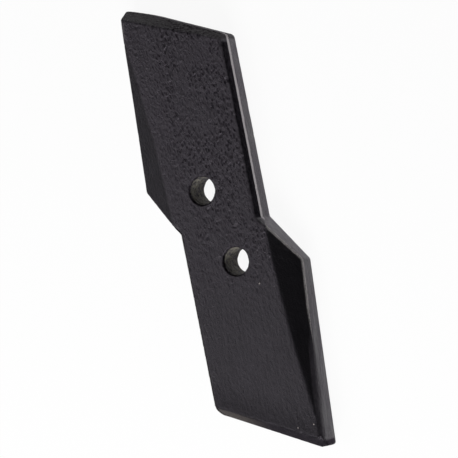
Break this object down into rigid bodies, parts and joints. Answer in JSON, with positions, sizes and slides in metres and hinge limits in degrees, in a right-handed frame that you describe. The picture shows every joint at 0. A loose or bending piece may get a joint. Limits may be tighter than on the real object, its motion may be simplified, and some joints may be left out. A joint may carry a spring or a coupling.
{
  "type": "ploughshare point",
  "caption": "Reversible forged ploughshare point: a stepped flat plate with bevelled tips, sloping wing facets and straight through bolt holes.",
  "frame": {"origin": "on the flat back face, midway between the two bolt holes", "axes": "+Z out of the working face, Y along the straight sides with the upper tip of the picture towards +Y, +X to the right of the picture"},
  "size_m": [0.0802, 0.2362, 0.015],
  "materials": {
    "black_paint": "semi-gloss black paint over forging scale"
  },
  "bodies": {
    "root": {"share_point": "black_paint"}
  },
  "joints": []
}
